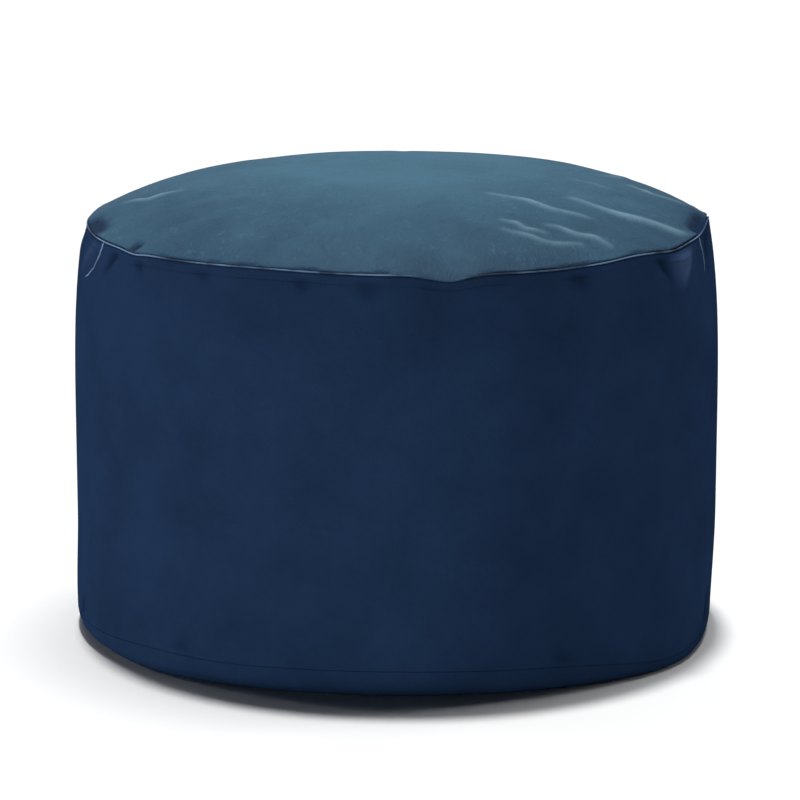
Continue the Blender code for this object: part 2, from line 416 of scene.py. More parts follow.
class PoufClothSettings(bpy.types.PropertyGroup):
    """Colours and weave of the cloth, as sRGB hex values."""

    # The top's colour is paler and greener than the band's, though the cloth is the same: painted sheen and
    # light on the top
    top_colour: bpy.props.StringProperty(name="Top", description="Colour of the top panel", default="#263E55")
    side_colour: bpy.props.StringProperty(name="Side", description="Colour of the band", default="#1B2C46")
    base_colour: bpy.props.StringProperty(name="Base", description="Colour of the base", default="#1B2C46")
    # The seam's edge is much paler than the cloth: a painted highlight along its ridge
    welt_highlight_colour: bpy.props.StringProperty(
        name="Welt", description="Colour of the seam's edge", default="#5F7898"
    )
    # The creases are much paler than the cloth: a painted highlight along each crease
    crease_highlight_colour: bpy.props.StringProperty(
        name="Crease", description="Colour of the creases", default="#6F86A8"
    )
    thread_colour: bpy.props.StringProperty(
        name="Thread", description="Colour of the thread", default="#182842"
    )
    # Such cloth has about 0.45 mm from thread to thread. They are drawn coarser, so that they can show.
    thread_spacing: bpy.props.FloatProperty(
        name="Thread spacing",
        description="Spacing of the weave's threads as drawn",
        default=0.0011,
        unit="LENGTH",
    )


class PoufStageSettings(bpy.types.PropertyGroup):
    """The plain studio round the pouf."""

    wall: bpy.props.FloatProperty(name="Wall", description="Strength of the lit back wall", default=0.67)
    overhead: bpy.props.FloatProperty(
        name="Overhead", description="Strength of the light overhead", default=2.42
    )
    right: bpy.props.FloatProperty(
        name="Right", description="Strength of the light at the right", default=0.80
    )
    back: bpy.props.FloatProperty(name="Back", description="Strength of the wide light behind", default=0.40)
    fill: bpy.props.FloatProperty(
        name="Fill", description="Strength of the low lights round the pouf", default=1.0
    )
    camera_distance: bpy.props.FloatProperty(
        name="Distance", description="From the pouf's middle to the camera, level", default=3.3, unit="LENGTH"
    )
    camera_height: bpy.props.FloatProperty(
        name="Height", description="The camera's height above the floor", default=0.930, unit="LENGTH"
    )
    camera_pitch: bpy.props.FloatProperty(
        name="Pitch",
        description="How far the camera looks down",
        default=math.radians(12.33),
        subtype="ANGLE",
    )
    lens: bpy.props.FloatProperty(name="Lens", description="Focal length in millimetres", default=162.0)


def smooth(low, high, value):
    """0 up to low, 1 from high, and a smooth rise between them."""
    t = np.clip((np.asarray(value, float) - low) / (high - low), 0, 1)
    return t * t * (3 - 2 * t)


def turn_from(middle, angle_deg):
    """How far each angle lies from a middle one, the short way round."""
    return (angle_deg - middle + 180) % 360 - 180


def waves(table, angle_deg):
    """The sum of a table's bell-shaped rises at each angle."""
    total = np.zeros(np.shape(angle_deg))
    for middle, size, half_width in table:
        turn = turn_from(middle, angle_deg)
        total += size * np.exp(-((turn / half_width) ** 2))
    return total


def folds(table, angle_deg, away):
    """How far the folds push the band out, at each distance from their seam."""
    total = np.zeros(np.shape(angle_deg))
    for middle, lean, length, half_width, out in table:
        here = middle + lean * np.clip(away / length, 0, 1)
        across = np.radians(turn_from(here, angle_deg)) * WIDEST_RADIUS
        held = 1 - smooth(HELD_SHARE * length, length, away)
        narrowing = 1 - NARROWING * np.clip(away / length, 0, 1)
        total += out * held * np.exp(-((across / (half_width * narrowing)) ** 2))
    return total * smooth(FOLD_START, FOLD_FULL, away)


def wrinkles(table, x, y):
    """The height that a table's wrinkles add at each place seen from above."""
    total = np.zeros(np.shape(x))
    for start_x, start_y, end_x, end_y, bow, half_width, rise in table:
        run_x, run_y = end_x - start_x, end_y - start_y
        length = math.hypot(run_x, run_y)
        along = ((x - start_x) * run_x + (y - start_y) * run_y) / length**2
        across = ((y - start_y) * run_x - (x - start_x) * run_y) / length
        inside = np.clip(along, 0, 1)
        waver = WAVER_SHARE * half_width * np.sin(WAVER_RATE * inside + SHIFT_RATE * start_x)
        across = across - bow * 4 * inside * (1 - inside) - waver
        past = (along - inside) * length
        ripple = 1 - RIPPLE_SHARE + RIPPLE_SHARE * np.cos(RIPPLE_RATE * inside + SHIFT_RATE * start_y)
        strength = END_STRENGTH + (1 - END_STRENGTH) * np.sin(math.pi * inside) * ripple
        total += rise * strength * np.exp(-(across**2 + past**2) / half_width**2)
    return total


def puckers(angle_deg, from_rim):
    """How far the top panel is drawn down beside its seam, at each distance from its rim."""
    total = np.zeros(np.shape(angle_deg))
    for middle, depth, half_width, reach in RIM_PUCKERS:
        turn = turn_from(middle, angle_deg)
        drawn_down = depth * np.exp(-((turn / half_width) ** 4))
        total += drawn_down * (1 - smooth(HELD_SHARE * reach, reach, from_rim))
    return total


def angles(points):
    """Each point's angle from the front towards +X, in degrees."""
    return np.degrees(np.arctan2(points[:, 0], -points[:, 1]))


def seam_angles():
    """Evenly spaced angles all the way round."""
    return np.linspace(-180, 180, SEAM_STEPS + 1)[:-1]


def seam_height(angle_deg):
    """The top seam's height at each angle."""
    return TOP_SEAM_HEIGHT + waves(SEAM_WAVES, angle_deg)


def seam_radius(angle_deg):
    """The top seam's radius at each angle."""
    return TOP_SEAM_RADIUS + waves(SEAM_TUCKS, angle_deg)


def base_seam_height(angle_deg):
    """The base seam's height at each angle."""
    return BASE_SEAM_HEIGHT + waves(BASE_SEAM_WAVES, angle_deg)


def band_radius(height):
    """The band's radius: fullest near its middle and drawn in towards both seams."""
    height = np.asarray(height, float)
    upper = np.clip((height - BAND_WIDEST_HEIGHT) / (TOP_SEAM_HEIGHT - BAND_WIDEST_HEIGHT), 0, 1)
    lower = np.clip((BAND_WIDEST_HEIGHT - height) / (BAND_WIDEST_HEIGHT - BASE_SEAM_HEIGHT), 0, 1)
    drawn_in = (WIDEST_RADIUS - TOP_SEAM_RADIUS) * upper**BAND_UPPER_POWER
    return WIDEST_RADIUS - drawn_in - (WIDEST_RADIUS - BASE_SEAM_RADIUS) * lower**BAND_LOWER_POWER


def settle(points):
    """The evenly turned points, moved to the uneven form's seams, tucks and swells."""
    x, y, z = points.T
    radius = np.hypot(x, y)
    angle = angles(points)
    up = waves(SEAM_WAVES, angle) * smooth(SEAM_SPREAD_RADIUS, SEAM_FULL_RADIUS, radius)
    up *= smooth(TOP_SEAM_HEIGHT - SEAM_WAVE_REACH, TOP_SEAM_HEIGHT - SEAM_WAVE_EDGE, z)
    low = smooth(FOOT_START_RADIUS, FOOT_FULL_RADIUS, radius)
    below = np.clip(z / BASE_SEAM_HEIGHT, 0, 1) * low
    up += waves(BASE_SEAM_WAVES, angle) * below * (1 - smooth(BASE_SEAM_HEIGHT, BASE_WAVE_REACH, z))
    out = waves(LOWER_TUCKS, angle) * low * (1 - smooth(BASE_SEAM_HEIGHT, LOWER_TUCK_REACH, z))
    high = smooth(TOP_SEAM_HEIGHT - SEAM_TUCK_REACH, TOP_SEAM_HEIGHT - COLLAR_WIDTH, z)
    out += waves(SEAM_TUCKS, angle) * high * smooth(SEAM_SPREAD_RADIUS, SEAM_FULL_RADIUS, radius)
    inward = np.clip((BASE_SEAM_RADIUS - radius) / BASE_CORNER_WIDTH, 0, 1) * low
    out -= waves(BASE_CORNER_WAVES, angle) * inward * (z < BASE_SEAM_HEIGHT - 2 * SEAM_GAP)
    scale = 1 + out / np.maximum(radius, SETTLE_LEAST_RADIUS)
    return np.stack([x * scale, y * scale, z + up], axis=1)


def new_object(name, data):
    """A new object in the scene, at the origin."""
    made = bpy.data.objects.new(name, data)
    bpy.context.scene.collection.objects.link(made)
    return made


class Net:
    """The cloth net of the whole body: a square net on the top and the base, and rings on the band."""

    def __init__(self, cells):
        line = np.linspace(-1, 1, cells + 1)
        u, v = np.meshgrid(line, line, indexing="ij")
        disc = np.stack([(u * np.sqrt(1 - v * v / 2)).ravel(), (v * np.sqrt(1 - u * u / 2)).ravel()], axis=1)
        self.disc = disc
        side = cells + 1
        walk = [(i, 0) for i in range(cells)] + [(cells, j) for j in range(cells)]
        walk += [(i, cells) for i in range(cells, 0, -1)] + [(0, j) for j in range(cells, 0, -1)]
        self.rim = np.array([i * side + j for i, j in walk])
        self.around = disc[self.rim] / np.linalg.norm(disc[self.rim], axis=1)[:, None]
        self.columns = len(self.rim)
        corner = np.arange(side * side).reshape(side, side)
        quads = [corner[:-1, :-1], corner[1:, :-1], corner[1:, 1:], corner[:-1, 1:]]
        self.quads = np.stack(quads, -1).reshape(-1, 4)

    def ring(self, radius, height):
        """One ring of points, at a radius and height for each column."""
        radius = np.broadcast_to(radius, self.columns)
        height = np.broadcast_to(height, self.columns)
        return np.stack([self.around[:, 0] * radius, self.around[:, 1] * radius, height], axis=1)

    def strip(self, upper, lower):
        """Quads that join the rings of point numbers upper and lower, facing out."""
        return np.stack([lower, np.roll(lower, -1), np.roll(upper, -1), upper], axis=1)


def crown_points(net):
    """The top panel's net, up to a collar's width from the seam."""
    flat = net.disc * (TOP_SEAM_RADIUS - COLLAR_WIDTH)
    share = np.hypot(flat[:, 0], flat[:, 1]) / TOP_SEAM_RADIUS
    height = TOP_SEAM_HEIGHT + LIP_HEIGHT + (CROWN_RISE - LIP_HEIGHT) * (1 - share**CROWN_POWER)
    return np.column_stack([flat, height])


def base_points(net):
    """The base panel's net: flat on the floor and round its corner up to the seam's lip."""
    flat_radius = BASE_SEAM_RADIUS - BASE_CORNER_WIDTH
    lip = BASE_SEAM_HEIGHT - BASE_LIP_HEIGHT
    corner_length = math.pi / 2 * (BASE_CORNER_WIDTH + lip) / 2
    share = np.hypot(net.disc[:, 0], net.disc[:, 1])
    run = share * (flat_radius + corner_length)
    turn = np.clip((run - flat_radius) / corner_length, 0, 1) * math.pi / 2
    square = 2 / BASE_CORNER_POWER
    radius = np.where(run < flat_radius, run, flat_radius + BASE_CORNER_WIDTH * np.sin(turn) ** square)
    scale = radius / np.maximum(share, 1e-9)
    return np.column_stack([net.disc * scale[:, None], lip * (1 - np.maximum(np.cos(turn), 0) ** square)])


def band_heights(net):
    """The heights of the band's rings, from the upper collar down to the lower one."""
    top, bottom = TOP_SEAM_HEIGHT - COLLAR_WIDTH, BASE_SEAM_HEIGHT + COLLAR_WIDTH
    spacing = math.tau * WIDEST_RADIUS / net.columns
    return np.linspace(top, bottom, round((top - bottom) / spacing) + 1)


def slack_shares(angle_deg):
    """How much of the cloth's slack each place has, from its angle."""
    sway = SLACK_SWAY * np.sin(np.radians(angle_deg * SLACK_WAVES + SLACK_SHIFT_DEG))
    extra = SLACK_EXTRA * np.exp(-(((angle_deg - SLACK_EXTRA_DEG) / SLACK_EXTRA_WIDTH_DEG) ** 2))
    return SLACK_MEAN + sway + extra


def simulate(net, crown, band, base, settings):
    """How the cloth moves when it is filled: the moves of the crown's points and of the band's."""
    top_seam = settle(net.ring(TOP_SEAM_RADIUS, TOP_SEAM_HEIGHT))
    base_seam = settle(net.ring(BASE_SEAM_RADIUS, BASE_SEAM_HEIGHT))
    rings = len(band) // net.columns
    points = np.concatenate([crown, top_seam, band, base_seam, base])
    numbers = np.arange(net.columns)
    starts = len(crown) + net.columns * np.arange(rings + 2)
    base_start = starts[-1] + net.columns
    faces = [net.quads, net.strip(net.rim, starts[0] + numbers)]
    faces += [net.strip(a + numbers, b + numbers) for a, b in zip(starts, starts[1:])]
    faces += [net.strip(starts[-1] + numbers, base_start + net.rim), net.quads[:, ::-1] + base_start]
    mesh = bpy.data.meshes.new("filling")
    mesh.from_pydata(points.tolist(), [], np.concatenate(faces).tolist())
    body = new_object("filling", mesh)
    held = body.vertex_groups.new(name="held")
    held.add([int(n) for n in starts[0] + numbers], 1.0, "ADD")
    held.add([int(n) for n in range(starts[-1], len(points))], 1.0, "ADD")
    slack = body.vertex_groups.new(name="slack")
    for number, weight in enumerate(slack_shares(angles(points))):
        slack.add([number], float(weight), "REPLACE")
    cloth = body.modifiers.new("Cloth", "CLOTH")
    for name, value in CLOTH_HANDLING.items():
        setattr(cloth.settings, name, value)
    cloth.settings.vertex_group_mass = "held"
    cloth.settings.vertex_group_shrink = "slack"
    cloth.settings.shrink_min = 0.0
    cloth.settings.shrink_max = -settings.slack
    cloth.settings.use_pressure = True
    cloth.settings.uniform_pressure_force = settings.pressure
    cloth.settings.effector_weights.gravity = 0
    cloth.collision_settings.use_collision = False
    cloth.point_cache.frame_start = 1
    cloth.point_cache.frame_end = settings.frames
    scene = bpy.context.scene
    for number in range(1, settings.frames + 1):
        scene.frame_set(number)
    filled = bpy.data.meshes.new_from_object(body.evaluated_get(bpy.context.evaluated_depsgraph_get()))
    end = np.zeros(len(points) * 3)
    filled.vertices.foreach_get("co", end)
    scene.frame_set(1)
    bpy.data.objects.remove(body)
    bpy.data.meshes.remove(filled)
    move = end.reshape(-1, 3) - points
    size = np.linalg.norm(move, axis=1)
    move *= (settings.cap * np.tanh(size / settings.cap) / np.maximum(size, 1e-9))[:, None]
    crown_move = move[: len(crown)]
    band_move = move[starts[1] : starts[-1]]
    return crown_move, band_move


def without_swelling(net, crown, crown_move, band, band_move):
    """The moves without the even swelling that the driving sizes already hold."""
    radius = np.hypot(crown[:, 0], crown[:, 1])
    even = np.polyval(np.polyfit(radius, crown_move[:, 2], SWELLING_CURVE), radius)
    crown_move = crown_move - np.column_stack([np.zeros((len(even), 2)), even])
    outward = band[:, :2] / np.linalg.norm(band[:, :2], axis=1)[:, None]
    out = (band_move[:, :2] * outward).sum(1).reshape(-1, net.columns)
    mean = np.repeat(out.mean(1), net.columns)
    band_move = band_move - np.column_stack([outward * mean[:, None], np.zeros(len(mean))])
    return crown_move, band_move


def bend(start, control, end, steps):
    """Rings along a smooth bend from the ring start, by control, to the ring end."""
    made = []
    for share in np.linspace(0, 1, steps + 1)[1:]:
        made.append((1 - share) ** 2 * start + 2 * share * (1 - share) * control + share**2 * end)
    return made


def closed_panel(name, points, faces):
    """A new object from a panel's points and quads, once subdivided and then closed inside."""
    mesh = bpy.data.meshes.new(name)
    mesh.from_pydata(points.tolist(), [], faces)
    rough = new_object(name + "_net", mesh)
    finer = rough.modifiers.new("Finer", "SUBSURF")
    finer.levels = 1
    finer.render_levels = 1
    finer.boundary_smooth = "PRESERVE_CORNERS"
    fine = bpy.data.meshes.new_from_object(rough.evaluated_get(bpy.context.evaluated_depsgraph_get()))
    bpy.data.objects.remove(rough)
    bpy.data.meshes.remove(mesh)
    fine.name = name
    close_inside(fine)
    fine.shade_smooth()
    return new_object(name, fine)


def close_inside(mesh):
    """Closes a panel behind its seams: a hidden ring and disc from each open edge, with all faces out."""
    work = bmesh.new()
    work.from_mesh(mesh)
    for level, inner_level in HIDDEN_LEVELS[mesh.name]:
        edges = [e for e in work.edges if e.is_boundary and abs(e.verts[0].co.z - level) < SEAM_REACH]
        added = bmesh.ops.extrude_edge_only(work, edges=edges)["geom"]
        for point in [item for item in added if isinstance(item, bmesh.types.BMVert)]:
            point.co = (HIDDEN_SHARE * point.co.x, HIDDEN_SHARE * point.co.y, inner_level)
        rim = [item for item in added if isinstance(item, bmesh.types.BMEdge) and item.is_boundary]
        disc = bmesh.ops.contextual_create(work, geom=rim)["faces"]
        bmesh.ops.poke(work, faces=disc)
    bmesh.ops.recalc_face_normals(work, faces=work.faces)
    work.to_mesh(mesh)
    work.free()


def coordinates(mesh):
    """A mesh's points as an array."""
    found = np.zeros(len(mesh.vertices) * 3)
    mesh.vertices.foreach_get("co", found)
    return found.reshape(-1, 3)


def put_coordinates(mesh, points):
    """Puts an array of points back into a mesh."""
    mesh.vertices.foreach_set("co", points.astype(np.float32).ravel())
    mesh.update()


def add_attribute(mesh, name, values):
    """Stores one number for each point, for a material to read."""
    attribute = mesh.attributes.new(name, "FLOAT", "POINT")
    attribute.data.foreach_set("value", np.asarray(values, np.float32))


def add_flat_map(mesh, wrapped):
    """Adds the cloth's own map in metres: seen from above, or unrolled round the band."""
    layer = mesh.uv_layers.new(name="cloth")
    points = coordinates(mesh)
    corners = np.zeros(len(mesh.loops), int)
    mesh.loops.foreach_get("vertex_index", corners)
    if not wrapped:
        flat = points[corners][:, :2]
    else:
        turn = np.arctan2(points[:, 0], -points[:, 1])[corners]
        first = np.zeros(len(mesh.polygons), int)
        mesh.polygons.foreach_get("loop_start", first)
        count = np.zeros(len(mesh.polygons), int)
        mesh.polygons.foreach_get("loop_total", count)
        lead = np.repeat(turn[first], count)
        turn = np.where(turn - lead > math.pi, turn - math.tau, turn)
        turn = np.where(turn - lead < -math.pi, turn + math.tau, turn)
        flat = np.column_stack([turn * WIDEST_RADIUS, points[corners][:, 2]])
    layer.data.foreach_set("uv", flat.astype(np.float32).ravel())


def top_cover(net, crown):
    """The top panel as a closed cover: the crown, its lip over the seam and its underside."""
    angle = angles(net.ring(1, 0))
    height = seam_height(angle)
    rim = crown[net.rim]
    swell = waves(LIP_SWELLS, angle)
    radius = seam_radius(angle)
    lip = net.ring(radius + TOP_LIP[0] + swell, height + TOP_LIP[1] - SWELL_DROP * np.maximum(swell, 0))
    groove = net.ring(radius - GROOVE_DEPTH, height + SEAM_GAP)
    points, faces = [crown], net.quads.tolist()
    upper, start = net.rim, len(crown)
    for ring in bend(rim, lip, groove, TOP_BEND_STEPS):
        lower = start + np.arange(net.columns)
        faces += net.strip(upper, lower).tolist()
        points.append(ring)
        upper, start = lower, start + net.columns
    return np.concatenate(points), faces


def side_cover(net, band):
    """The band as a closed cover: tucked into both seams, with its two hidden faces."""
    angle = angles(net.ring(1, 0))
    height = seam_height(angle)
    columns = net.columns
    upper_groove = net.ring(seam_radius(angle) - GROOVE_DEPTH, height - SEAM_GAP)
    upper_lip = net.ring(seam_radius(angle) + BAND_UPPER_LIP[0], height + BAND_UPPER_LIP[1])
    lower_lip = settle(net.ring(BASE_SEAM_RADIUS + BAND_LOWER_LIP[0], BASE_SEAM_HEIGHT + BAND_LOWER_LIP[1]))
    lower_groove = settle(
        net.ring(BASE_SEAM_RADIUS - BASE_GROOVE_DEPTH, BASE_SEAM_HEIGHT + BASE_SEAM_OPENING)
    )
    rings = bend(band[:columns], upper_lip, upper_groove, BAND_BEND_STEPS)[::-1]
    rings += list(band.reshape(-1, columns, 3))
    rings += bend(band[-columns:], lower_lip, lower_groove, BAND_BEND_STEPS)
    points, faces = list(rings), []
    numbers = [n * columns + np.arange(columns) for n in range(len(rings))]
    for upper, lower in zip(numbers, numbers[1:]):
        faces += net.strip(upper, lower).tolist()
    return np.concatenate(points), faces


def base_cover(net, base):
    """The base as a closed cover: flat on the floor, round its corner and into the seam."""
    groove = settle(net.ring(BASE_SEAM_RADIUS - BASE_GROOVE_DEPTH, BASE_SEAM_HEIGHT - BASE_SEAM_OPENING))
    lip = settle(net.ring(BASE_SEAM_RADIUS + BASE_LIP[0], BASE_SEAM_HEIGHT + BASE_LIP[1]))
    points, faces = [base], net.quads[:, ::-1].tolist()
    lower, start = net.rim, len(base)
    for ring in bend(base[net.rim], lip, groove, BASE_BEND_STEPS):
        upper = start + np.arange(net.columns)
        faces += net.strip(upper, lower).tolist()
        points.append(ring)
        lower, start = upper, start + net.columns
    return np.concatenate(points), faces


def refine(mesh):
    """Splits the crown's faces finer where its wrinkles run."""
    points = coordinates(mesh)
    raised = wrinkles(CROWN_WRINKLES, points[:, 0], points[:, 1])
    fine = (np.abs(raised) > FINE_OVER) & (points[:, 2] > TOP_SEAM_HEIGHT + LIP_HEIGHT)
    work = bmesh.new()
    work.from_mesh(mesh)
    edges = [edge for edge in work.edges if fine[edge.verts[0].index] and fine[edge.verts[1].index]]
    bmesh.ops.subdivide_edges(work, edges=edges, cuts=1, smooth=1.0, use_grid_fill=True)
    work.to_mesh(mesh)
    work.free()


def finish_crown(piece):
    """Adds the crown's listed wrinkles, and marks their crests for a painted highlight and its puckers for
    painted shade.
    """
    refine(piece.data)
    points = coordinates(piece.data)
    radius = np.hypot(points[:, 0], points[:, 1])
    angle = angles(points)
    upper = smooth(*CROWN_SIDE, points[:, 2] - seam_height(angle))
    from_rim = seam_radius(angle) - radius
    held = upper * smooth(0, WRINKLE_MARGIN, from_rim)
    raised = wrinkles(CROWN_WRINKLES, points[:, 0], points[:, 1]) * held
    swell = wrinkles(CROWN_SWELLS, points[:, 0], points[:, 1]) * held
    sunk = puckers(angle, from_rim)
    points[:, 2] += raised + swell - sunk * upper
    put_coordinates(piece.data, points)
    # masks for the material's painted highlight on crests and painted shade in hollows
    add_attribute(piece.data, "crest", np.clip(raised / CREST_FULL, 0, 1))
    add_attribute(piece.data, "hollow", np.clip(sunk / HOLLOW_FULL, 0, 1))


def finish_band(piece):
    """Adds the band's listed folds, and marks their crests for a painted highlight and their hollows for
    painted shade.
    """
    points = coordinates(piece.data)
    radius = np.hypot(points[:, 0], points[:, 1])
    angle = angles(points)
    outer = smooth(*BAND_SIDE, radius - seam_radius(angle))
    out = folds(UPPER_FOLDS, angle, seam_height(angle) - points[:, 2])
    out += folds(LOWER_FOLDS, angle, points[:, 2] - base_seam_height(angle))
    out *= outer
    points[:, :2] *= (1 + out / np.maximum(radius, FOLD_LEAST_RADIUS))[:, None]
    put_coordinates(piece.data, points)
    # masks for the material's painted highlight on crests and painted shade in hollows
    add_attribute(piece.data, "crest", np.clip(out / FOLD_CREST_FULL, 0, 1))
    add_attribute(piece.data, "hollow", np.clip(-out / FOLD_HOLLOW_FULL, 0, 1))


def linear(colour):
    """An sRGB hex colour as linear red, green, blue and alpha."""
    values = [int(colour[n : n + 2], 16) / 255 for n in (1, 3, 5)]
    return [v / 12.92 if v <= 0.04045 else ((v + 0.055) / 1.055) ** 2.4 for v in values] + [1.0]


def add_node(tree, kind, inputs=None, **settings):
    """Adds a node with its settings. An input is a socket to link from, or a value."""
    made = tree.nodes.new(kind)
    for name, value in settings.items():
        setattr(made, name, value)
    for name, source in (inputs or {}).items():
        if isinstance(source, bpy.types.NodeSocket):
            tree.links.new(source, made.inputs[name])
        else:
            made.inputs[name].default_value = source
    return made


def mix_colours(tree, share, first, second):
    """The colour socket of a mix of two colours, each a socket or a value."""
    mixed = add_node(tree, "ShaderNodeMix", {"Factor": share}, data_type="RGBA")
    for socket, source in ((mixed.inputs[6], first), (mixed.inputs[7], second)):
        if isinstance(source, bpy.types.NodeSocket):
            tree.links.new(source, socket)
        else:
            socket.default_value = source
    return mixed.outputs[2]


def new_material(name, colour):
    """A new material with its viewport colour, its tree and its output node."""
    material = bpy.data.materials.new(name)
    material.diffuse_color = linear(colour)
    material.use_nodes = True
    material.node_tree.nodes.clear()
    return material, material.node_tree, add_node(material.node_tree, "ShaderNodeOutputMaterial")


def woven_polyester(name, colours, spacing, specular, roughness, specks, painted_light):
    """Coated plain-weave polyester, as on outdoor seats: a fine even weave under a thin matt coating,
    with clouds of colour, flecks, painted highlights on crests, painted shade in hollows and painted light on
    the top's middle."""
    colour, pale, crest_highlight, shade_and_fleck_tone = colours
    material, tree, output = new_material(name, colour)
    place = add_node(tree, "ShaderNodeUVMap", uv_map="cloth").outputs["UV"]
    solid = add_node(tree, "ShaderNodeTexCoord").outputs["Object"]
    axes = add_node(tree, "ShaderNodeSeparateXYZ", {"Vector": place})
    threads = []
    for axis in ("X", "Y"):
        turns = add_node(
            tree, "ShaderNodeMath", {0: axes.outputs[axis], 1: math.pi / spacing}, operation="MULTIPLY"
        ).outputs[0]
        threads.append(add_node(tree, "ShaderNodeMath", {0: turns}, operation="SINE").outputs[0])
    weave = add_node(tree, "ShaderNodeMath", {0: threads[0], 1: threads[1]}, operation="MULTIPLY").outputs[0]
    clouds = add_node(
        tree, "ShaderNodeTexNoise",
        {"Vector": solid, "Scale": CLOUDS_PER_METRE, "Detail": 6.0, "Roughness": 0.65},
    )
    stretched = add_node(
        tree, "ShaderNodeMapping",
        {"Vector": solid, "Rotation": (0, 0, FLECK_TURN), "Scale": FLECKS_PER_METRE},
    ).outputs[0]
    flecks = add_node(
        tree, "ShaderNodeTexNoise", {"Vector": stretched, "Scale": 1.0, "Detail": 3.0, "Distortion": 1.2}
    )
    crest = add_node(tree, "ShaderNodeAttribute", attribute_name="crest").outputs["Fac"]
    hollow = add_node(tree, "ShaderNodeAttribute", attribute_name="hollow").outputs["Fac"]
    away = add_node(tree, "ShaderNodeVectorMath", {0: solid, 1: PAINTED_LIGHT_MIDDLE}, operation="DISTANCE")
    parts = [
        # value, from_low, from_high, share
        (clouds.outputs[0], 0.32, 0.70, 0.9 - 0.7 * painted_light),
        (flecks.outputs[0], 0.61, 0.71, specks),
        # painted light: the top is paler towards its middle
        (away.outputs["Value"], PAINTED_LIGHT_EDGE, PAINTED_LIGHT_FULL, painted_light),
    ]
    lighter = 0.0
    for value, low, high, share in parts:
        part = add_node(
            tree, "ShaderNodeMapRange", {"Value": value, "From Min": low, "From Max": high, "To Max": share}
        ).outputs[0]
        lighter = add_node(
            tree, "ShaderNodeMath", {0: part, 1: lighter}, operation="ADD", use_clamp=True
        ).outputs[0]
    # the random mottling, together with the painted light on the top
    mottled_and_lit = mix_colours(tree, lighter, linear(colour), linear(pale))
    # painted highlight: the crests are paler, as if catching the light
    highlighted = mix_colours(tree, crest, mottled_and_lit, linear(crest_highlight))
    dark_flecks = add_node(
        tree, "ShaderNodeMapRange",
        {"Value": flecks.outputs[0], "From Min": 0.40, "From Max": 0.30, "To Max": 0.6 * specks},
    ).outputs[0]
    # painted shade in the hollows, together with the random dark flecks
    shade_and_flecks = add_node(tree, "ShaderNodeMath", {0: hollow, 1: 0.90}, operation="MULTIPLY").outputs[0]
    shade_and_flecks = add_node(
        tree, "ShaderNodeMath", {0: shade_and_flecks, 1: dark_flecks}, operation="ADD", use_clamp=True
    ).outputs[0]
    finished = mix_colours(tree, shade_and_flecks, highlighted, linear(shade_and_fleck_tone))
    raised = add_node(tree, "ShaderNodeBump", {"Height": weave, "Strength": 0.25, "Distance": 0.00012})
    crumpled = add_node(
        tree, "ShaderNodeBump",
        {"Height": clouds.outputs[0], "Strength": 0.4, "Distance": 0.005, "Normal": raised.outputs[0]},
    )
    flecked = add_node(
        tree, "ShaderNodeBump",
        {"Height": flecks.outputs[0], "Strength": specks, "Distance": 0.004, "Normal": crumpled.outputs[0]},
    )
    shader = add_node(
        tree, "ShaderNodeBsdfPrincipled",
        {
            "Base Color": finished,
            "Roughness": roughness,
            "IOR": 1.5,
            "Specular IOR Level": specular,
            "Normal": flecked.outputs[0],
        },
    )
    tree.links.new(shader.outputs[0], output.inputs["Surface"])
    return material


def spun_thread(name, colour, roughness):
    """Spun polyester sewing thread or a folded cloth edge: matt, finely grained, and uneven in shade.
    On the seam's edge and on the creases, its pale colour is a painted highlight.
    """
    material, tree, output = new_material(name, colour)
    solid = add_node(tree, "ShaderNodeTexCoord").outputs["Object"]
    grain = add_node(tree, "ShaderNodeTexNoise", {"Vector": solid, "Scale": TWISTS_PER_METRE, "Detail": 2.0})
    shade = add_node(tree, "ShaderNodeTexNoise", {"Vector": solid, "Scale": SHADES_PER_METRE, "Detail": 3.0})
    tones = add_node(tree, "ShaderNodeValToRGB", {"Fac": shade.outputs[0]})
    tones.color_ramp.elements[0].position = 0.40
    tones.color_ramp.elements[1].position = 0.56
    tones.color_ramp.elements[0].color = [0.20 * value for value in linear(colour)[:3]] + [1]
    tones.color_ramp.elements[1].color = linear(colour)
    raised = add_node(
        tree, "ShaderNodeBump", {"Height": grain.outputs[0], "Strength": 0.5, "Distance": 0.0002}
    )
    shader = add_node(
        tree, "ShaderNodeBsdfPrincipled",
        {
            "Base Color": tones.outputs[0],
            "Roughness": roughness,
            "Specular IOR Level": 0.1,
            "Normal": raised.outputs[0],
        },
    )
    tree.links.new(shader.outputs[0], output.inputs["Surface"])
    return material


def new_tree(name, sizes):
    """A Geometry Nodes tree with a geometry in and out, a material and named sizes."""
    tree = bpy.data.node_groups.new(name, "GeometryNodeTree")
    tree.interface.new_socket("Geometry", in_out="INPUT", socket_type="NodeSocketGeometry")
    tree.interface.new_socket("Geometry", in_out="OUTPUT", socket_type="NodeSocketGeometry")
    tree.interface.new_socket("Material", in_out="INPUT", socket_type="NodeSocketMaterial")
    for size in sizes:
        tree.interface.new_socket(size, in_out="INPUT", socket_type="NodeSocketFloat")
    return tree


def end_tree(tree, given, geometry):
    """Ends a tree: makes its instances real, sets the material and puts the geometry out."""
    real = add_node(tree, "GeometryNodeRealizeInstances", {"Geometry": geometry})
    coloured = add_node(
        tree, "GeometryNodeSetMaterial", {"Geometry": real.outputs[0], "Material": given.outputs["Material"]}
    )
    add_node(tree, "NodeGroupOutput", {"Geometry": coloured.outputs[0]})
    return tree


def welt_tree():
    """A round edge swept along a line."""
    tree = new_tree("Welt", ["Radius"])
    given = add_node(tree, "NodeGroupInput")
    section = add_node(
        tree, "GeometryNodeCurvePrimitiveCircle", {"Resolution": 8, "Radius": given.outputs["Radius"]}
    )
    swept = add_node(
        tree, "GeometryNodeCurveToMesh",
        {"Curve": given.outputs["Geometry"], "Profile Curve": section.outputs["Curve"], "Fill Caps": True},
    )
    smooth_faces = add_node(tree, "GeometryNodeSetShadeSmooth", {"Geometry": swept.outputs[0]})
    return end_tree(tree, given, smooth_faces.outputs[0])


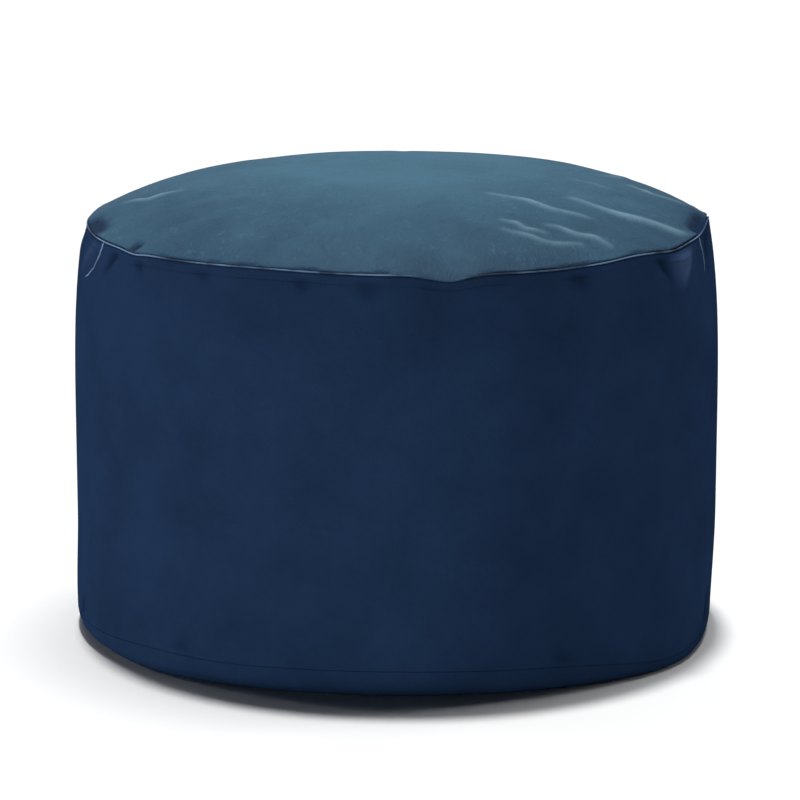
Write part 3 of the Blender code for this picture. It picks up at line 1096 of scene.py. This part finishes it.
def stitch_tree():
    """Short lengths of thread set one after another along a closed line."""
    tree = new_tree("Stitches", ["Pitch", "Length", "Radius"])
    given = add_node(tree, "NodeGroupInput")
    places = add_node(
        tree, "GeometryNodeCurveToPoints",
        {"Curve": given.outputs["Geometry"], "Length": given.outputs["Pitch"]}, mode="LENGTH",
    )
    thread = add_node(
        tree, "GeometryNodeMeshCylinder",
        {"Vertices": 6, "Radius": given.outputs["Radius"], "Depth": given.outputs["Length"]},
    )
    set_down = add_node(
        tree, "GeometryNodeInstanceOnPoints",
        {
            "Points": places.outputs["Points"],
            "Instance": thread.outputs["Mesh"],
            "Rotation": places.outputs["Rotation"],
        },
    )
    return end_tree(tree, given, set_down.outputs[0])


def along_lines(name, lines, closed, tree, inputs):
    """A plain mesh that a Geometry Nodes tree makes along lines of points, closed or open."""
    line = bpy.data.curves.new(name + "_line", "CURVE")
    line.dimensions = "3D"
    for points in lines:
        path = line.splines.new("POLY")
        path.points.add(len(points) - 1)
        path.use_cyclic_u = closed
        for spot, place in zip(path.points, points):
            spot.co = (*place, 1)
    guide = new_object(name + "_line", line)
    nodes = guide.modifiers.new("Nodes", "NODES")
    nodes.node_group = tree
    for item in tree.interface.items_tree:
        if item.item_type == "SOCKET" and item.in_out == "INPUT" and item.name in inputs:
            nodes[item.identifier] = inputs[item.name]
    mesh = bpy.data.meshes.new_from_object(guide.evaluated_get(bpy.context.evaluated_depsgraph_get()))
    bpy.data.objects.remove(guide)
    mesh.name = name
    return new_object(name, mesh)


def surface_line(piece, angle_deg, height, proud):
    """Points on a piece's outer side at each angle and height, each standing proud of it."""
    tree = BVHTree.FromObject(piece, bpy.context.evaluated_depsgraph_get())
    made = []
    for angle, level, lift in zip(np.radians(angle_deg), height, np.broadcast_to(proud, len(height))):
        outward = Vector((math.sin(angle), -math.cos(angle), 0))
        start = outward * (WIDEST_RADIUS + RAY_MARGIN) + Vector((0, 0, level))
        place = tree.ray_cast(start, -outward)[0]
        if place is None:
            raise RuntimeError(f"no cloth at {math.degrees(angle):.0f} degrees")
        made.append(place + outward * float(lift))
    return made


def dress(piece, material, node=None):
    """Gives a piece its finish and its place in the frame."""
    if material is not None:
        piece.data.materials.clear()
        piece.data.materials.append(material)
    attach(piece, "root")
    if node:
        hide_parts(node)


class POUF_OT_covers(bpy.types.Operator):
    """Fill the cloth covers: the top panel, the band and the base"""

    bl_idname = "pouf.covers"
    bl_label = "Covers"

    def execute(self, context):
        shape, cloth = context.scene.pouf_shape, context.scene.pouf_cloth
        net = Net(shape.cells)
        crown = settle(crown_points(net))
        base = settle(base_points(net))
        band = settle(np.concatenate([net.ring(band_radius(z), z) for z in band_heights(net)]))
        moves = simulate(net, crown, band, base, shape)
        moves = without_swelling(net, crown, moves[0], band, moves[1])
        crown, band = crown + moves[0], band + moves[1]
        top = closed_panel("top_cover", *top_cover(net, crown))
        side = closed_panel("side_cover", *side_cover(net, band))
        under = closed_panel("base_cover", *base_cover(net, base))
        finish_crown(top)
        finish_band(side)
        add_flat_map(top.data, False)
        add_flat_map(side.data, True)
        add_flat_map(under.data, False)
        spacing = cloth.thread_spacing
        top_tones = (cloth.top_colour, *TOP_TONES)
        side_tones = (cloth.side_colour, *SIDE_TONES)
        base_tones = (cloth.base_colour, *SIDE_TONES)
        top_cloth = woven_polyester("woven_polyester_top", top_tones, spacing, **TOP_FINISH)
        side_cloth = woven_polyester("woven_polyester_side", side_tones, spacing, **SIDE_FINISH)
        base_cloth = woven_polyester("woven_polyester_base", base_tones, spacing, **SIDE_FINISH)
        dress(top, top_cloth, "top_panel")
        dress(side, side_cloth, "side_panel")
        dress(under, base_cloth, "base_panel")
        return {"FINISHED"}


class POUF_OT_welt(bpy.types.Operator):
    """Set the thin round edge into the top seam"""

    bl_idname = "pouf.welt"
    bl_label = "Welt"

    def execute(self, context):
        shape, cloth = context.scene.pouf_shape, context.scene.pouf_cloth
        angle = seam_angles()
        turn = np.radians(angle)
        points = np.column_stack(
            [seam_radius(angle) * np.sin(turn), -seam_radius(angle) * np.cos(turn), seam_height(angle)]
        )
        # painted highlight: the seam's ridge is drawn paler than the cloth
        material = spun_thread("folded_polyester_edge_highlight", cloth.welt_highlight_colour, 0.6)
        inputs = {"Radius": shape.welt_radius, "Material": material}
        welt = along_lines("seam_welt", [points.tolist()], True, welt_tree(), inputs)
        dress(welt, None, "top_welt")
        return {"FINISHED"}


class POUF_OT_creases(bpy.types.Operator):
    """Pinch the short sharp creases into the band below the top seam"""

    bl_idname = "pouf.creases"
    bl_label = "Creases"

    def execute(self, context):
        shape, cloth = context.scene.pouf_shape, context.scene.pouf_cloth
        side = bpy.data.objects["side_cover"]
        lines = []
        for crease in CREASES:
            angle, height = np.array(crease).T
            run = np.linspace(0, len(crease) - 1, CREASE_STEPS * len(crease))
            angle = np.interp(run, range(len(crease)), angle)
            height = np.interp(run, range(len(crease)), height)
            sinking = smooth(CREASE_SINKS_FROM * run[-1], run[-1], run)
            lines.append(surface_line(side, angle, height, -CREASE_SINKING * shape.crease_radius * sinking))
        # painted highlight along each crease
        material = spun_thread("crease_highlight_polyester", cloth.crease_highlight_colour, 0.6)
        inputs = {"Radius": shape.crease_radius, "Material": material}
        dress(along_lines("band_creases", lines, False, welt_tree(), inputs), None)
        return {"FINISHED"}


class POUF_OT_stitches(bpy.types.Operator):
    """Sew the row of stitches below the top seam"""

    bl_idname = "pouf.stitches"
    bl_label = "Stitches"

    def execute(self, context):
        shape, cloth = context.scene.pouf_shape, context.scene.pouf_cloth
        material = spun_thread("polyester_thread", cloth.thread_colour, 0.7)
        inputs = {
            "Pitch": shape.stitch_pitch,
            "Length": shape.stitch_length,
            "Radius": shape.thread_radius,
            "Material": material,
        }
        angle = seam_angles()
        side = bpy.data.objects["side_cover"]
        below = surface_line(side, angle, seam_height(angle) - STITCH_DROP, 0.0)
        dress(along_lines("upper_stitches", [below], True, stitch_tree(), inputs), None)
        return {"FINISHED"}


class POUF_OT_stage(bpy.types.Operator):
    """Set up the pale floor, the soft studio light and the camera"""

    bl_idname = "pouf.stage"
    bl_label = "Stage"

    def execute(self, context):
        stage = context.scene.pouf_stage
        scene = context.scene
        scene.view_settings.view_transform = "Standard"
        bpy.ops.mesh.primitive_plane_add(size=FLOOR_SIZE, location=(0, 0, 0))
        floor = context.object
        floor.name = "studio_floor"
        # Matt emulsion paint, rolled on: an even white without reflections
        paint, tree, output = new_material("matt_paint", FLOOR_COLOUR)
        shader = add_node(
            tree, "ShaderNodeBsdfPrincipled", {"Base Color": linear(FLOOR_COLOUR), "Roughness": 0.9}
        )
        tree.links.new(shader.outputs[0], output.inputs["Surface"])
        floor.data.materials.append(paint)
        world = bpy.data.worlds.new("studio")
        world.use_nodes = True
        tree = world.node_tree
        aim = add_node(tree, "ShaderNodeTexCoord").outputs["Generated"]
        axes = add_node(tree, "ShaderNodeSeparateXYZ", {"Vector": aim}).outputs
        strength = stage.wall
        for axis, low, high in (("Y", *WALL_FRONT), ("Z", *WALL_BOTTOM), ("Z", *reversed(WALL_TOP))):
            share = add_node(
                tree, "ShaderNodeMapRange", {"Value": axes[axis], "From Min": low, "From Max": high},
                interpolation_type="SMOOTHSTEP",
            ).outputs[0]
            strength = add_node(
                tree, "ShaderNodeMath", {0: share, 1: strength}, operation="MULTIPLY"
            ).outputs[0]
        sky = tree.nodes["Background"]
        sky.inputs["Color"].default_value = (1, 1, 1, 1)
        tree.links.new(strength, sky.inputs["Strength"])
        scene.world = world
        lamps = [
            # name, from_x, from_y, from_z, spread_deg, strength
            ("overhead_light", -0.028, 0.125, 1.0, 5, stage.overhead),
            ("right_light", 0.17, 0.15, 1.0, 16, stage.right),
            ("back_light", -0.10, 0.50, 1.0, 40, stage.back),
            ("front_left_light", -0.70, -0.70, 0.012, 1.2, 0.96 * stage.fill),
            ("left_light", -0.94, -0.34, 0.012, 1.2, 0.64 * stage.fill),
            ("left_back_light", -0.94, 0.34, 0.36, 8, 0.25 * stage.fill),
            ("front_right_light", 0.80, -0.60, 0.012, 1.2, 0.09 * stage.fill),
            ("right_back_light", 0.94, 0.34, 0.36, 8, 0.33 * stage.fill),
        ]
        for name, from_x, from_y, from_z, spread, strength in lamps:
            data = bpy.data.lights.new(name, "SUN")
            data.angle = math.radians(spread)
            data.energy = strength
            lamp = new_object(name, data)
            lamp.location = (from_x, from_y, from_z)
            lamp.rotation_euler = Vector((-from_x, -from_y, -from_z)).to_track_quat("-Z", "Y").to_euler()
        lens = bpy.data.cameras.new("camera")
        lens.lens = stage.lens
        lens.sensor_width = 36
        lens.clip_end = 100
        camera = new_object("camera", lens)
        camera.location = (CAMERA_SIDEWAYS, -stage.camera_distance, stage.camera_height)
        camera.rotation_euler = (math.pi / 2 - stage.camera_pitch, 0, 0)
        scene.camera = camera
        return {"FINISHED"}


class POUF_PT_panel(bpy.types.Panel):
    """The pouf's tools in the sidebar"""

    bl_idname = "POUF_PT_panel"
    bl_label = "Outdoor Pouf"
    bl_space_type = "VIEW_3D"
    bl_region_type = "UI"
    bl_category = "Pouf"

    def draw(self, context):
        for group in (context.scene.pouf_shape, context.scene.pouf_cloth, context.scene.pouf_stage):
            for name in group.bl_rna.properties.keys():
                if name not in ("rna_type", "name"):
                    self.layout.prop(group, name)
        for operator in STEPS:
            self.layout.operator(operator.bl_idname)


STEPS = (POUF_OT_covers, POUF_OT_welt, POUF_OT_creases, POUF_OT_stitches, POUF_OT_stage)
SETTINGS = {"pouf_shape": PoufShapeSettings, "pouf_cloth": PoufClothSettings, "pouf_stage": PoufStageSettings}


def register():
    for name, group in SETTINGS.items():
        bpy.utils.register_class(group)
        setattr(bpy.types.Scene, name, bpy.props.PointerProperty(type=group))
    for item in (*STEPS, POUF_PT_panel):
        bpy.utils.register_class(item)


def unregister():
    for item in (POUF_PT_panel, *reversed(STEPS)):
        bpy.utils.unregister_class(item)
    for name, group in SETTINGS.items():
        delattr(bpy.types.Scene, name)
        bpy.utils.unregister_class(group)


def main():
    register()
    bpy.ops.pouf.covers()
    bpy.ops.pouf.welt()
    bpy.ops.pouf.creases()
    bpy.ops.pouf.stitches()
    bpy.ops.pouf.stage()
    bpy.context.view_layer.update()


if __name__ == "__main__":
    main()
